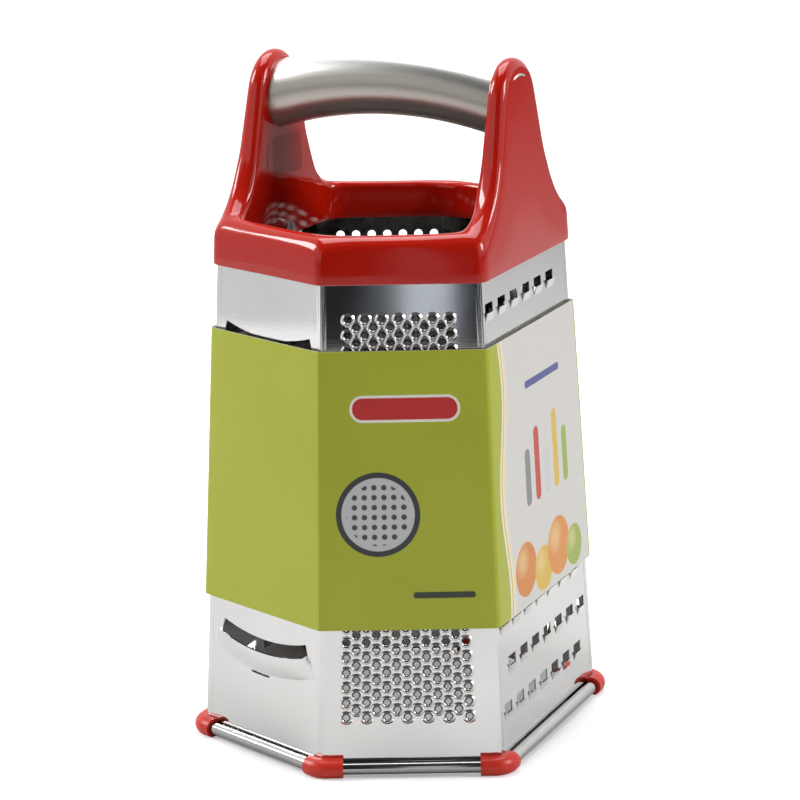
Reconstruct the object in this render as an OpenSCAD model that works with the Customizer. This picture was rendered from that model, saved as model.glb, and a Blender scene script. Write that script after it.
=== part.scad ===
// Six-sided box grater: six punched steel panels, a red moulded collar with two horns,
// an arched steel tube handle, six corner feet and a card sleeve that slips off over the top.
// Millimetres, +Z up, origin on the table at the middle of the foot ring.
// The handle runs along X, and the two wide end walls face +X and -X.

/* [Body] */
// Distance between the two wide end walls at the bottom edge
body_w = 112.8; // [100:0.2:130]
// Width of each wide end wall at the bottom edge
wall_w = 89.4; // [76:0.2:100]
// Distance between the front and rear folds at the bottom edge
body_d = 138; // [126:0.5:160]
// Distance between the wide end walls at the lower edge of the collar
neck_w = 97.4; // [94:0.2:100]
// Height of the lower edge of the collar
neck_h = 169; // [160:0.5:180]
// Thickness of the steel sheet
sheet_t = 0.5; // [0.3:0.05:0.7]
// How far the sheet reaches up inside the collar
sheet_seat = 9; // [6:0.5:10]
// Width of the welded lap behind each fold
lap_w = 3.5; // [2:0.5:4]
// Distance from the collar down to the top row of the shredding holes
row_drop = 11; // [10:0.5:14]
// Height of the lowest row of the shredding holes
row_low = 19.5; // [16:0.5:30]
// Distance from a fold to the nearest hole of the top row of the shredding holes
side_room = 2.4; // [2:0.1:4]

/* [Bottom bead and feet] */
// Outer diameter of the bead rolled along each bottom edge
bead_d = 4.5; // [3.6:0.1:4.8]
// Gap between the sheet and the free end of the rolled bead
bead_gap = 0.6; // [0.3:0.1:1]
// How far each bead stops short of its corner
bead_inset = 2.5; // [1:0.1:3]
// Outer diameter of a corner foot
foot_d = 6.8; // [6.6:0.1:8]
// Length of the longer arms of a corner foot
foot_long = 7.3; // [6:0.1:9]
// Length of the shorter arms of a corner foot
foot_short = 4.4; // [4:0.1:6]
// Radius of the middle line of a foot's bend
foot_bend = 6; // [4.5:0.1:6]
// Thickness of the foot under the bead
foot_floor = 0.8; // [0.5:0.1:1]

/* [Collar] */
// How far the collar stands out from the sheet
collar_lip = 2; // [1:0.1:2]
// Height of the collar band
collar_h = 15.5; // [14:0.5:20]
// How much shorter the collar's inner skirt is than its outer one
skirt_rise = 2.5; // [1:0.5:3]
// Radius of the rounded top edge of the collar band
collar_round = 4.5; // [3:0.5:5]
// Radius of the collar's corners in plan
collar_corner = 4; // [2:0.5:5]
// Width of the collar's rim on the four narrow sides
rim_w = 6.5; // [5.5:0.5:9]
// Radius of the corners of the collar's opening in plan
opening_corner = 6; // [3:1:10]
// Thickness of the moulded walls
skin = 2; // [1.5:0.1:2.2]

/* [Horns] */
// How far the horns stand above the collar band
horn_h = 53.5; // [50:0.5:60]
// Thickness of a horn at its top
horn_t = 6.3; // [6:0.1:8]
// Radius of the round top of a horn
horn_round = 15.5; // [14:0.5:17]
// Angle of the straight flank of a horn
horn_flank = 15.8; // [12:0.2:18]
// Height of the flare above the collar band
flare_h = 24.5; // [20:0.5:28]
// Radius of the flare
flare_r = 40; // [36:1:50]
// Radius of the softened edges of a horn
horn_edge = 2.6; // [1.5:0.1:3]

/* [Handle] */
// How far the handle's arch stands above the horns
tube_proud = 2; // [0:0.5:6]
// Outer diameter of the handle tube
tube_d = 23; // [21:0.5:24]
// Wall of the handle tube
tube_wall = 0.7; // [0.5:0.1:1]
// Radius to which the middle line of the tube is bent
tube_bend = 150; // [140:5:170]
// How far the tube reaches into each horn
tube_seat = 3.6; // [3:0.1:4]
// Length of the moulded plug in each end of the tube
plug_len = 14; // [10:1:20]
// Diameter of the stub on the horn that holds the plug
stub_d = 9; // [7:0.5:11]
// Length of the stub inside the tube
stub_len = 7; // [5:0.5:9]

/* [Horn covers] */
// Half width of the cover set in the inner face of a horn
cover_half = 14; // [11:0.5:15]
// Distance from the handle tube down to the cover
cover_gap = 2; // [1.5:0.1:4]
// Height of the cover
cover_h = 14.5; // [10:0.5:18]
// Thickness of the cover
cover_t = 1.8; // [1.2:0.1:2.4]
// Depth of the hollow behind the cover
pocket_depth = 5.5; // [4:0.5:6]

/* [Collar screws] */
// How far the screw sits above the lower edge of the collar
screw_rise = 5.5; // [4:0.5:6.5]
// Diameter of the screw head
screw_head_d = 6; // [5:0.2:7]
// Height of the screw head
screw_head_h = 1.8; // [1.2:0.1:2.4]
// Diameter of the screw shank
screw_d = 2.6; // [2:0.1:3]

/* [Fine rasp panel] */
// Number of rows of punched holes
fine_rows = 53; // [20:1:53]
// Distance from the collar down to the top row
fine_drop = 12; // [11:0.5:15]
// Holes in the long rows
fine_count = 7; // [4:1:7]
// Height of the lowest row
fine_low = 20.2; // [16:0.1:30]
// Distance from hole to hole in the top row
fine_pitch_top = 5.6; // [5:0.1:6]
// Distance from hole to hole in the bottom row
fine_pitch_low = 7; // [6:0.1:7.2]
// Diameter of a hole
fine_hole = 2.1; // [1.6:0.1:2.4]
// How far the pattern stands to the left of the middle
fine_shift = 1; // [0:0.5:2]

/* [Slicer panel] */
// Number of slicing slots
slot_count = 3; // [1:1:3]
// Distance from the collar down to the top slot
slot_drop = 22; // [18:0.5:26]
// Height of the lowest slot
slot_low = 41; // [34:0.5:60]
// Length of a slicing slot
slot_len = 43; // [34:0.5:43]
// Radius of the curve of a slot
slot_curve = 75; // [60:1:90]
// Clear height of a slot
slot_gape = 4.6; // [3:0.1:5]
// Width of the sloping blade below a slot
blade_w = 6.5; // [5:0.1:8]
// How far the blade edge stands out from the sheet
blade_rise = 1; // [0.6:0.1:1]
// Length of the drain slit below each blade
drain_len = 8; // [6:1:20]
// Height of the drain slit
drain_gape = 0.8; // [0.5:0.1:1.2]
// How far the drain slit stands to the left of the middle
drain_shift = 2; // [0:0.5:4]

/* [Shredding panels] */
// Rows of the wide shredding wall
wide_rows = 10; // [4:1:10]
// Holes in a full row of the wide shredding wall
wide_count = 7; // [4:1:7]
// Width of a hole of the wide shredding wall
wide_hole = 6.6; // [5:0.1:7.4]
// Rows of the coarse wall opposite
coarse_rows = 8; // [4:1:8]
// Holes in a full row of the coarse wall
coarse_count = 5; // [3:1:5]
// Width of a hole of the coarse wall
coarse_hole = 9.5; // [8:0.1:11]
// Rows of the medium panel
medium_rows = 13; // [6:1:13]
// Holes in a full row of the medium panel
medium_count = 6; // [3:1:6]
// Width of a hole of the medium panel
medium_hole = 5; // [4:0.1:6]
// Clear height of a shredding hole
tooth_gape = 3; // [2:0.1:3.4]
// Length of the sloping lip below a shredding hole
tooth_len = 2.8; // [2:0.1:3.2]
// How far a lip stands out from the sheet
tooth_rise = 1; // [0.6:0.1:1]

/* [Round-hole panel] */
// Rows of round holes
round_rows = 29; // [8:1:29]
// Distance from the collar down to the top row
round_drop = 4.5; // [3.5:0.5:8]
// Holes in the long rows
round_count = 7; // [4:1:7]
// Height of the lowest row
round_low = 24.5; // [18:0.5:30]
// Distance from hole to hole
round_pitch = 5.7; // [5.4:0.1:6.6]
// Diameter of a round hole
round_hole = 3; // [2.4:0.1:3.4]

/* [Card sleeve] */
// Height of the lower edge of the sleeve
sleeve_low = 51.5; // [48:0.5:56]
// Distance from the collar down to the sleeve
sleeve_drop = 22; // [21.5:0.5:40]
// Room between the sheet and the card
sleeve_gap = 1.4; // [1.3:0.1:1.6]
// Thickness of the card
card_t = 0.45; // [0.3:0.05:0.6]
// Radius of the card's folds
card_fold = 0.9; // [0.6:0.1:2]

/* [Hidden] */

// Colours
red = "#c9241c";
steel = "#c8c9c8";
card = "#9fae3c";
dark = "#5a1512";

// Fineness of curves
$fn = 64;
fold_steps = 3;
round_steps = 5;

// Overrun of cuts, and the room left round pieces that are slipped together
cut = 1;
room = 0.1;
loose = 0.2;

// Level of the bottom edge of the sheet, which is the level of the beads' axes
bead_r = bead_d / 2;
bead_z = foot_floor + bead_r;
// How far the beads' axes lie outside the sheet's outer face
bead_out = bead_r - sheet_t;
sheet_top = neck_h + sheet_seat;
collar_top = neck_h + collar_h;
horn_top = collar_top + horn_h;
height = horn_top + tube_proud;
quarter_turn = 90;

// Share of its width that the body loses for each unit of height
taper = (body_w - neck_w) / body_w / (neck_h - bead_z);
function shrink(z) = 1 - taper * (z - bead_z);

// Walls are counted anticlockwise from the front right one, and corners from the front fold
walls = [0, 1, 2, 3, 4, 5];
corners = [
    [0, -body_d / 2],
    [body_w / 2, -wall_w / 2],
    [body_w / 2, wall_w / 2],
    [0, body_d / 2],
    [-body_w / 2, wall_w / 2],
    [-body_w / 2, -wall_w / 2]
];
side_turn = atan((body_d - wall_w) / body_w);
turns = [side_turn, 90, 180 - side_turn, 180 + side_turn, 270, 360 - side_turn];
function next(i) = (i + 1) % len(walls);
function last(i) = (i + len(walls) - 1) % len(walls);
function along(i) = [cos(turns[i]), sin(turns[i])];
function outward(i) = [sin(turns[i]), -cos(turns[i])];
// Distance of each wall from the axis at the level of the beads
reaches = [for (i = walls) corners[i] * outward(i)];
leans = [for (i = walls) atan(reaches[i] * taper)];
function is_end(i) = i == 1 || i == 4;
function reach(i, z, off) = reaches[i] * shrink(z) + off;
function slope_len(i, z) = (z - bead_z) / cos(leans[i]);
// Place along a wall of its left and right corner at the level of the beads
function left_x(i) = corners[i] * along(i);
function right_x(i) = corners[next(i)] * along(i);
function mid_x(i, z) = (left_x(i) + right_x(i)) / 2 * shrink(z);
function half_x(i, z) = (right_x(i) - left_x(i)) / 2 * shrink(z);
// Distance between the inner faces of the two horns
opening_w = 2 * (reach(1, horn_top, collar_lip) - horn_t);

// Point where walls i and j meet in plan, at distances di and dj from the axis
function meet(i, j, di, dj) =
    let (a = outward(i), b = outward(j), den = a[0] * b[1] - a[1] * b[0])
    [(di * b[1] - dj * a[1]) / den, (a[0] * dj - b[0] * di) / den];

// Level outline round the body: the narrow walls moved out by side, the wide ones by end,
// the corners rounded to radius r
function outline(z, side, end, r) = [
    for (k = walls)
        let (
            i = last(k),
            from = k == 0 ? turns[i] - 360 : turns[i],
            c = meet(i, k, reach(i, z, (is_end(i) ? end : side) - r), reach(k, z, (is_end(k) ? end : side) - r))
        )
        for (s = [0:fold_steps])
            let (t = from + (turns[k] - from) * s / fold_steps)
            [c[0] + r * sin(t), c[1] - r * cos(t), z]
];

// Closed solid through a stack of level outlines with equal numbers of points
module loft(rings) {
    n = len(rings[0]);
    m = len(rings);
    polyhedron(
        points = [for (ring = rings) each ring],
        faces = concat(
            [[for (i = [0:n - 1]) i]],
            [
                for (j = [0:m - 2], i = [0:n - 1])
                    [j * n + i, (j + 1) * n + i, (j + 1) * n + (i + 1) % n, j * n + (i + 1) % n]
            ],
            [[for (i = [n - 1:-1:0]) (m - 1) * n + i]]
        )
    );
}

// Puts children on a wall: X along it, Y up its slope from the bead, Z outward from its outer face
module on_wall(i) {
    rotate([0, 0, turns[i]])
        translate([0, -reaches[i], bead_z])
            rotate([90 - leans[i], 0, 0])
                children();
}

// Upright wedge that holds one wall and ends at its two corners
module sector(i) {
    far = height / body_w;
    translate([0, 0, -cut])
        linear_extrude(height + cut)
            polygon([[0, 0], corners[i] * far, corners[next(i)] * far]);
}

// Bead of one wall: a ring rolled out of the sheet, whose free end stops short of it
module bead(i) {
    x0 = left_x(i) + bead_inset;
    x1 = right_x(i) - bead_inset;
    difference() {
        translate([x0, 0, bead_out])
            rotate([0, 90, 0])
                cylinder(r = bead_r, h = x1 - x0);
        translate([x0 - cut, 0, bead_out])
            rotate([0, 90, 0])
                cylinder(r = bead_r - sheet_t, h = x1 - x0 + 2 * cut);
        translate([x0 - cut, sheet_t / 2, -sheet_t - cut])
            cube([x1 - x0 + 2 * cut, bead_d, sheet_t + cut + bead_gap]);
    }
}

// Lap behind the fold at the right end of wall i, welded to the next wall
module lap(i) {
    j = next(i);
    from = slope_len(j, bead_z + foot_d);
    to = slope_len(j, sheet_top - sheet_t);
    x0 = left_x(j) * shrink(bead_z + foot_d);
    x1 = left_x(j) * shrink(sheet_top);
    back = 2 * sheet_t;
    difference() {
        on_wall(j)
            translate([0, 0, -2 * sheet_t])
                linear_extrude(sheet_t)
                    polygon([[x0 - back, from], [x0 + lap_w, from], [x1 + lap_w, to], [x1 - back, to]]);
        on_wall(i)
            translate([left_x(i) - cut, 0, 0])
                cube([wall_w + body_w, height, body_w]);
    }
}

// Sheet of one wall with its bead; children are the cuts, in the wall's own place
module panel(i) {
    top = slope_len(i, sheet_top);
    intersection() {
        on_wall(i) {
            difference() {
                translate([left_x(i) - cut, 0, -sheet_t])
                    cube([right_x(i) - left_x(i) + 2 * cut, top, sheet_t]);
                children();
            }
        }
        sector(i);
    }
    on_wall(i) bead(i);
    lap(i);
}

// Staggered rows, long and short by turns: children are placed at each hole, from the top row down
module rows(i, count, rows, pitch_top, pitch_low, top_z, low_z) {
    for (r = [0:rows - 1]) {
        t = r / (rows - 1);
        z = top_z + (low_z - top_z) * t;
        n = count - r % 2;
        pitch = pitch_top + (pitch_low - pitch_top) * t;
        for (k = [0:n - 1])
            translate([mid_x(i, z) + (k - (n - 1) / 2) * pitch, slope_len(i, z)])
                children();
    }
}

// Rows set to the left and right by turns, with one hole less in the narrow upper half; the pitch
// is what the top row leaves room for
module zigzag(i, count, rows, w) {
    top_z = neck_h - row_drop;
    pitch = 2 * (half_x(i, top_z) - side_room - w / 2) / (count - 1);
    for (r = [0:rows - 1]) {
        z = top_z + (row_low - top_z) * r / (rows - 1);
        n = r < rows / 2 ? count - 1 : count;
        shift = r == 0 ? -pitch / 2 : pitch / 4 * (r % 2 == 1 ? -1 : 1);
        for (k = [0:n - 1])
            translate([mid_x(i, z) + shift + (k - (n - 1) / 2) * pitch, slope_len(i, z)])
                children();
    }
}

module round_holes(i, count, rows, pitch_top, pitch_low, top_z, low_z, d) {
    translate([0, 0, -sheet_t - cut])
        linear_extrude(sheet_t + 2 * cut)
            rows(i, count, rows, pitch_top, pitch_low, top_z, low_z)
                circle(d = d, $fn = 24);
}

// Window of a shredding hole and its lip, which slopes back to the sheet
module tooth_window(w) {
    translate([-w / 2, -tooth_len, 0])
        square([w, tooth_len + tooth_gape]);
}

module tooth_lip(w) {
    translate([room - w / 2, 0, 0])
        rotate([90, 0, 90])
            linear_extrude(w - 2 * room)
                polygon([
                    [0, tooth_rise - sheet_t], [0, tooth_rise],
                    [-tooth_len - sheet_t, -room], [-tooth_len - sheet_t, room - sheet_t]
                ]);
}

module tooth_panel(i, count, rows, w) {
    panel(i)
        translate([0, 0, -sheet_t - cut])
            linear_extrude(sheet_t + 2 * cut)
                zigzag(i, count, rows, w)
                    tooth_window(w);
    on_wall(i)
        zigzag(i, count, rows, w)
            tooth_lip(w);
}

module screw_hole(i, d) {
    on_wall(i)
        translate([0, slope_len(i, screw_z), 0])
            cylinder(d = d, h = body_w / 4, center = true, $fn = 24);
}

module panel_fine() {
    color(steel)
        panel(0)
            translate([-fine_shift, 0, 0])
                round_holes(
                    0, fine_count, fine_rows,
                    fine_pitch_top, fine_pitch_low, neck_h - fine_drop, fine_low, fine_hole
                );
}

module panel_shredder() {
    color(steel)
        difference() {
            tooth_panel(1, wide_count, wide_rows, wide_hole);
            screw_hole(1, screw_d + 2 * loose);
        }
}

module panel_medium() {
    color(steel)
        tooth_panel(2, medium_count, medium_rows, medium_hole);
}

module panel_round() {
    color(steel)
        panel(3)
            round_holes(
                3, round_count, round_rows,
                round_pitch, round_pitch, neck_h - round_drop, round_low, round_hole
            );
}

module panel_coarse() {
    color(steel)
        difference() {
            tooth_panel(4, coarse_count, coarse_rows, coarse_hole);
            screw_hole(4, screw_d + 2 * loose);
        }
}

// Level of each slot
slot_top = neck_h - slot_drop;
slot_heights = [for (k = [0:slot_count - 1]) slot_top + (slot_low - slot_top) * k / max(slot_count - 1, 1)];

// Places a slot by the middle of its upper edge, with the centre of its curve above it
module at_slot(i, z) {
    translate([mid_x(i, z), slope_len(i, z) + slot_curve, 0])
        children();
}

// Band along the slot's curve between two radii, span wide across the chord
module slot_band(r0, r1, span) {
    half = asin(span / 2 / slot_curve);
    intersection() {
        difference() {
            circle(r = r1, $fn = 180);
            circle(r = r0, $fn = 180);
        }
        polygon([[0, 0], 2 * r1 * [-sin(half), -cos(half)], 2 * r1 * [sin(half), -cos(half)]]);
    }
}

module panel_slicer() {
    half = asin((slot_len / 2 - room) / slot_curve);
    edge = slot_curve + slot_gape;
    foot = edge + blade_w;
    color(steel) {
        panel(5)
            translate([0, 0, -sheet_t - cut])
                linear_extrude(sheet_t + 2 * cut)
                    for (z = slot_heights)
                        at_slot(5, z) {
                            slot_band(slot_curve, foot, slot_len);
                            rotate([0, 0, -asin(drain_shift / foot)])
                                slot_band(foot + sheet_t + drain_gape, foot + sheet_t + 2 * drain_gape, drain_len);
                        }
        on_wall(5)
            for (z = slot_heights)
                at_slot(5, z)
                    rotate([0, 0, -90 - half])
                        rotate_extrude(angle = 2 * half, $fn = 180)
                            polygon([
                                [edge, blade_rise - sheet_t], [edge, blade_rise],
                                [foot + sheet_t, -room], [foot + sheet_t, room - sheet_t]
                            ]);
    }
}

// Arm of a foot on wall i, from x0 to x1
module foot_arm(x0, x1) {
    translate([x0, 0, bead_out])
        rotate([0, 90, 0])
            cylinder(d = foot_d, h = x1 - x0);
}

// Room for the sheet and its bead inside a foot's arm
module foot_room(x0, x1) {
    translate([x0, 0, bead_out])
        rotate([0, 90, 0])
            cylinder(r = bead_r + room, h = x1 - x0);
    translate([x0 - bead_inset, 0, -sheet_t - room])
        cube([x1 - x0 + 2 * bead_inset, foot_d, sheet_t + 2 * room]);
}

// Arms are long on the walls beside the front and rear folds, and short round the corner from them
function arm_len(k, i) =
    k == 2 || k == 5 ? (foot_long + foot_short) / 2
    : i == 0 || i == 3 ? foot_long
    : foot_short;

// Foot under corner k: two arms joined by a bend, flat where it stands on the table
module foot(k) {
    i = last(k);
    from = k == 0 ? turns[i] - 360 : turns[i];
    middle = meet(i, k, reaches[i] + bead_out - foot_bend, reaches[k] + bead_out - foot_bend);
    end_i = right_x(i) - arm_len(k, i);
    end_k = left_x(k) + arm_len(k, k);
    color(red)
        difference() {
            union() {
                translate([middle[0], middle[1], bead_z + bead_out * sin(leans[i])])
                    rotate([0, 0, from - quarter_turn])
                        rotate_extrude(angle = turns[k] - from)
                            translate([foot_bend, 0])
                                circle(d = foot_d + room);
                on_wall(i) foot_arm(end_i, middle * along(i) + room);
                on_wall(k) foot_arm(middle * along(k) - room, end_k);
            }
            on_wall(i) foot_room(end_i - cut, right_x(i) - bead_inset + room);
            on_wall(k) foot_room(left_x(k) + bead_inset - room, end_k + cut);
            translate([-body_d, -body_d, -foot_d])
                cube([2 * body_d, 2 * body_d, foot_d]);
        }
}

// Half width of a horn at height z: round top, straight flank, flare into the collar
horn_centre = horn_top - horn_round;
flare_top = collar_top + flare_h;
flank_top = horn_centre + horn_round * sin(horn_flank);
function flank(z) = horn_round * cos(horn_flank) + (flank_top - z) * tan(horn_flank);
function flare(z) =
    let (s = min(sin(horn_flank) + (flare_top - z) / flare_r, 1))
    flank(flare_top) + flare_r * (cos(horn_flank) - sqrt(1 - s * s));
function horn_half(z) =
    z > flank_top ? sqrt(max(horn_round * horn_round - (z - horn_centre) * (z - horn_centre), 0))
    : z > flare_top ? flank(z)
    : flare(z);
horn_shoulder = wall_w / 2 * shrink(collar_top) - collar_corner / 2;
horn_root = neck_h + sheet_seat / 2;

// Level outline of the horn on the +X wall: flat inner and outer faces, softened edges
function horn_outline(z) =
    let (
        top = horn_top - horn_edge,
        dip = z > top ? horn_edge - sqrt(max(horn_edge * horn_edge - (z - top) * (z - top), 0)) : 0,
        x0 = opening_w / 2 + dip,
        x1 = reach(1, z, collar_lip) - dip,
        half = min(horn_half(z), horn_shoulder),
        r = min(horn_edge, (x1 - x0) / 3, half / 2)
    )
    [
        for (q = [0:3], s = [0:fold_steps])
            let (
                a = quarter_turn * (q - 1 + s / fold_steps),
                cx = q == 0 || q == 1 ? x1 - r : x0 + r,
                cy = q == 1 || q == 2 ? half - r : r - half
            )
            [cx + r * cos(a), cy + r * sin(a), z]
    ];

// Levels of the horn's outlines: root, flare, flank, then steps of angle round its top, which
// ends in a small flat
shoulder_z = collar_top - collar_round;
crown_angle = 80;
crown_share = 0.02;
horn_levels = concat(
    [horn_root, shoulder_z],
    [for (s = [1:round_steps]) shoulder_z + (flare_top - shoulder_z) * s / round_steps],
    [flank_top],
    [
        for (s = [1:round_steps])
            horn_centre + horn_round * sin(horn_flank + (crown_angle - horn_flank) * s / round_steps)
    ],
    [horn_top - horn_edge * crown_share]
);

module both_ends() {
    children();
    rotate([0, 0, 180]) children();
}

module horn() {
    loft([for (z = horn_levels) horn_outline(z)]);
}

// Band of the collar, with its rounded top edge
module band_outside() {
    loft(concat(
        [outline(neck_h, collar_lip, collar_lip, collar_corner)],
        [
            for (s = [0:round_steps])
                let (
                    t = quarter_turn * s / round_steps,
                    dip = collar_lip - collar_round * (1 - cos(t)),
                    z = collar_top - collar_round * (1 - sin(t))
                )
                outline(z, dip, dip, collar_corner)
        ]
    ));
}

function opening_end(z) = opening_w / 2 - reaches[1] * shrink(z);

module opening() {
    side = collar_lip - rim_w;
    loft([
        for (z = [neck_h - cut, collar_top + cut])
            outline(z, side, opening_end(z), opening_corner)
    ]);
}

// Channel under the collar that the panels stand in
module channel() {
    top = sheet_top + loose;
    side = collar_lip - rim_w + skin;
    difference() {
        loft([for (z = [neck_h - cut, top]) outline(z, room, room, sheet_t)]);
        loft([
            for (z = [neck_h - 2 * cut, top + cut])
                outline(z, side, opening_end(z) + skin, opening_corner)
        ]);
    }
}

// Shortens the inner skirt, from the opening out into the channel
module skirt_cut() {
    side = collar_lip - rim_w + skin + cut;
    loft([
        for (z = [neck_h - cut, neck_h + skirt_rise])
            outline(z, side, opening_end(z) + skin + cut, opening_corner)
    ]);
}

// The bent tube, or anything inside it, as a bar of radius r from x0 to x1
module bent_bar(r, x0, x1) {
    intersection() {
        translate([0, 0, height - tube_d / 2 - tube_bend])
            rotate([90, 0, 0])
                rotate_extrude($fn = 180)
                    translate([tube_bend, 0])
                        circle(r = r);
        translate([x0, -tube_d, horn_top - 3 * horn_round])
            cube([x1 - x0, 2 * tube_d, 4 * horn_round]);
    }
}

tube_end = opening_w / 2 + tube_seat;
stub_z = height - tube_d / 2 - tube_bend + sqrt(tube_bend * tube_bend - tube_end * tube_end);

module stub(d, x0, x1) {
    translate([x0, 0, stub_z])
        rotate([0, 90, 0])
            cylinder(d = d, h = x1 - x0);
}

module screw_bar(d, x0, x1) {
    translate([x0, 0, screw_z])
        rotate([0, 90, 0])
            cylinder(d = d, h = x1 - x0, $fn = 32);
}

// Level of the screw, where it passes the sheet, and where its tip ends inside the collar
screw_z = neck_h + screw_rise;
screw_sheet_x = reach(1, screw_z, -2 * sheet_t);
screw_tip_x = reach(1, screw_z, collar_lip / 2);

cover_high = stub_z - tube_d / 2 - cover_gap;
cover_low = cover_high - cover_h;

module cover_plate(x0, x1, gap) {
    translate([x0, 0, 0])
        rotate([90, 0, 90])
            linear_extrude(x1 - x0)
                difference() {
                    translate([-cover_half - gap, cover_low - gap])
                        square([2 * (cover_half + gap), cover_high - cover_low + 2 * gap]);
                    for (s = [-1, 1])
                        translate([s * (cover_half + gap), cover_high + gap])
                            rotate([0, 0, 45])
                                square(2 * skin, center = true);
                }
}

module collar() {
    color(red) {
        difference() {
            union() {
                band_outside();
                both_ends() horn();
            }
            opening();
            skirt_cut();
            channel();
            both_ends() {
                bent_bar(tube_d / 2 + room, opening_w / 2 - cut, tube_end + room);
                cover_plate(opening_w / 2 - cut, opening_w / 2 + cover_t + room, room);
                cover_plate(opening_w / 2, opening_w / 2 + pocket_depth, -skin);
                screw_bar(screw_d + room, opening_w / 2 - cut, screw_tip_x + room);
            }
        }
        both_ends() {
            stub(stub_d, tube_end - stub_len, tube_end + 2 * room);
            difference() {
                screw_bar(screw_head_d, opening_w / 2 + skin / 2, screw_sheet_x - room);
                screw_bar(screw_d + room, opening_w / 2, screw_sheet_x + cut);
            }
        }
    }
}

module horn_cover() {
    color(red)
        cover_plate(opening_w / 2, opening_w / 2 + cover_t, 0);
}

module handle_tube() {
    color(steel)
        difference() {
            bent_bar(tube_d / 2, -tube_end, tube_end);
            bent_bar(tube_d / 2 - tube_wall, -tube_end - cut, tube_end + cut);
        }
}

module handle_plug() {
    color(dark)
        difference() {
            bent_bar(tube_d / 2 - tube_wall - room, tube_end - plug_len, tube_end - room);
            stub(stub_d + 2 * room, tube_end - stub_len - loose, tube_end + cut);
        }
}

module collar_screws() {
    color(steel)
        both_ends() {
            screw_bar(screw_d, opening_w / 2 - screw_head_h / 2, screw_tip_x);
            difference() {
                screw_bar(screw_head_d, opening_w / 2 - screw_head_h, opening_w / 2);
                translate([opening_w / 2 - screw_head_h - cut, -screw_head_h / 4, screw_z - screw_head_d])
                    cube([cut + screw_head_h / 2, screw_head_h / 2, 2 * screw_head_d]);
            }
        }
}

// Card sleeve that follows the walls at a small distance
module sleeve() {
    top = neck_h - sleeve_drop;
    color(card)
        difference() {
            loft([
                for (z = [sleeve_low, top])
                    outline(z, sleeve_gap + card_t, sleeve_gap + card_t, card_fold + card_t)
            ]);
            loft([
                for (z = [sleeve_low - cut, top + cut])
                    outline(z, sleeve_gap, sleeve_gap, card_fold)
            ]);
        }
}

collar();
rotate([0, 0, 180]) horn_cover();  // horn_cover_left
horn_cover();  // horn_cover_right
handle_tube();
rotate([0, 0, 180]) handle_plug();  // handle_plug_left
handle_plug();  // handle_plug_right
collar_screws();
panel_fine();
panel_shredder();
panel_medium();
panel_round();
panel_coarse();
panel_slicer();
foot(0);  // foot_front
foot(1);  // foot_front_right
foot(2);  // foot_rear_right
foot(3);  // foot_rear
foot(4);  // foot_rear_left
foot(5);  // foot_front_left
sleeve();
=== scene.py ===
import math

import bpy
from mathutils import Matrix, Vector


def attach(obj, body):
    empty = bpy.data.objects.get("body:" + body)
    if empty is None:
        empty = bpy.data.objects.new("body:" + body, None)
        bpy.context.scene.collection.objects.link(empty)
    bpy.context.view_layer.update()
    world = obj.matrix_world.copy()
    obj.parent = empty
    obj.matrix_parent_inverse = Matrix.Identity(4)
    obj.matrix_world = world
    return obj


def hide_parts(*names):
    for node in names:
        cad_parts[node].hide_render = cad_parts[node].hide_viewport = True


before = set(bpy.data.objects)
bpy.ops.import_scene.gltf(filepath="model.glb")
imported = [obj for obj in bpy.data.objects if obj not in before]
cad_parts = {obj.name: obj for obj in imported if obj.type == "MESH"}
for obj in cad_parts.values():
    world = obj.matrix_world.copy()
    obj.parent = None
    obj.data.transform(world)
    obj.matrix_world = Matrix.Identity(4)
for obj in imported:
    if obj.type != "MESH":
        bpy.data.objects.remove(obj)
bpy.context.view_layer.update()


# Six steel walls
# Bright rolled stainless sheet, half a millimetre thick, punched flat, then bent round and
# lapped at the folds. The bottom edge of each wall is rolled into a round bead.
mm = 0.001
body_w, wall_w, body_d = 112.8, 89.4, 138.0
neck_w, neck_h = 97.4, 169.0
bead_z = 3.05
sheet_t = 0.5
taper = (body_w - neck_w) / body_w / (neck_h - bead_z)
side_turn = math.atan((body_d - wall_w) / body_w)
turns = [
    side_turn, math.pi / 2, math.pi - side_turn,
    math.pi + side_turn, 1.5 * math.pi, 2 * math.pi - side_turn,
]
corners = [
    (0, -body_d / 2), (body_w / 2, -wall_w / 2), (body_w / 2, wall_w / 2),
    (0, body_d / 2), (-body_w / 2, wall_w / 2), (-body_w / 2, -wall_w / 2),
]
wall_nodes = [
    "panel_fine", "panel_shredder", "panel_medium", "panel_round", "panel_coarse", "panel_slicer",
]


def new_material(name):
    """Material with its node tree and its shader."""
    material = bpy.data.materials.new(name)
    material.use_nodes = True
    return material, material.node_tree, material.node_tree.nodes["Principled BSDF"]


def node(tree, kind, **values):
    made = tree.nodes.new(kind)
    for name, value in values.items():
        if name in made.inputs:
            made.inputs[name].default_value = value
        else:
            setattr(made, name, value)
    return made


def coordinates(tree, kind):
    return node(tree, "ShaderNodeTexCoord").outputs[kind]


def height_part(tree, vector):
    """Z of a place or a direction."""
    parts = node(tree, "ShaderNodeSeparateXYZ")
    tree.links.new(vector, parts.inputs["Vector"])
    return parts.outputs["Z"]


def stretched(tree, stretch):
    """Object coordinates, scaled so that a noise runs out into lines along one axis."""
    scaled = node(tree, "ShaderNodeMapping", Scale=stretch)
    tree.links.new(coordinates(tree, "Object"), scaled.inputs["Vector"])
    return scaled.outputs["Vector"]


def spread(tree, value, from_low, from_high, to_low=0.0, to_high=1.0):
    """Value moved from one range to another and held inside it."""
    made = node(tree, "ShaderNodeMapRange")
    for side, limit in (
        ("From Min", from_low), ("From Max", from_high), ("To Min", to_low), ("To Max", to_high),
    ):
        made.inputs[side].default_value = limit
    tree.links.new(value, made.inputs["Value"])
    return made.outputs["Result"]


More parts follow.
